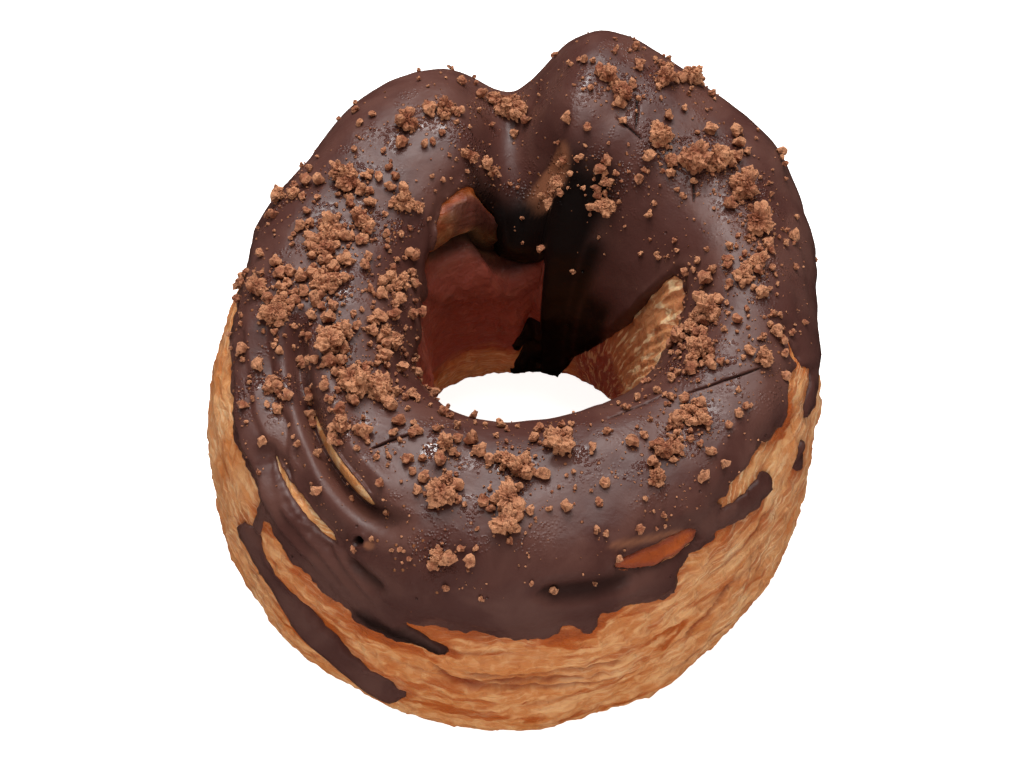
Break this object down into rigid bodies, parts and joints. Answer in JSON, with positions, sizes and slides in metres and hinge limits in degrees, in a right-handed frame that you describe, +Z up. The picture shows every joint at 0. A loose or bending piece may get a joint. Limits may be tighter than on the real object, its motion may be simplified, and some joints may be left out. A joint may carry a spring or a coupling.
{
  "type": "danish doughnut",
  "caption": "Tall ring of laminated dough with a seam on its far side, its top dipped in dark chocolate icing and strewn with cookie crumbs.",
  "frame": {"origin": "under the middle of the doughnut's box, on the surface it rests on", "axes": "+Z up through the hole, +Y towards the side with the dough's seam, +X to the right of the shown view"},
  "size_m": [0.0842, 0.0952, 0.0527],
  "materials": {
    "laminated_dough": "fried golden-brown crust with flaky edges",
    "dark_chocolate": "set dark chocolate with a satin sheen",
    "cookie_crumb": "rough light brown baked crumb"
  },
  "bodies": {
    "root": {"dough_ring": "laminated_dough", "chocolate_icing": "dark_chocolate"}
  },
  "joints": []
}
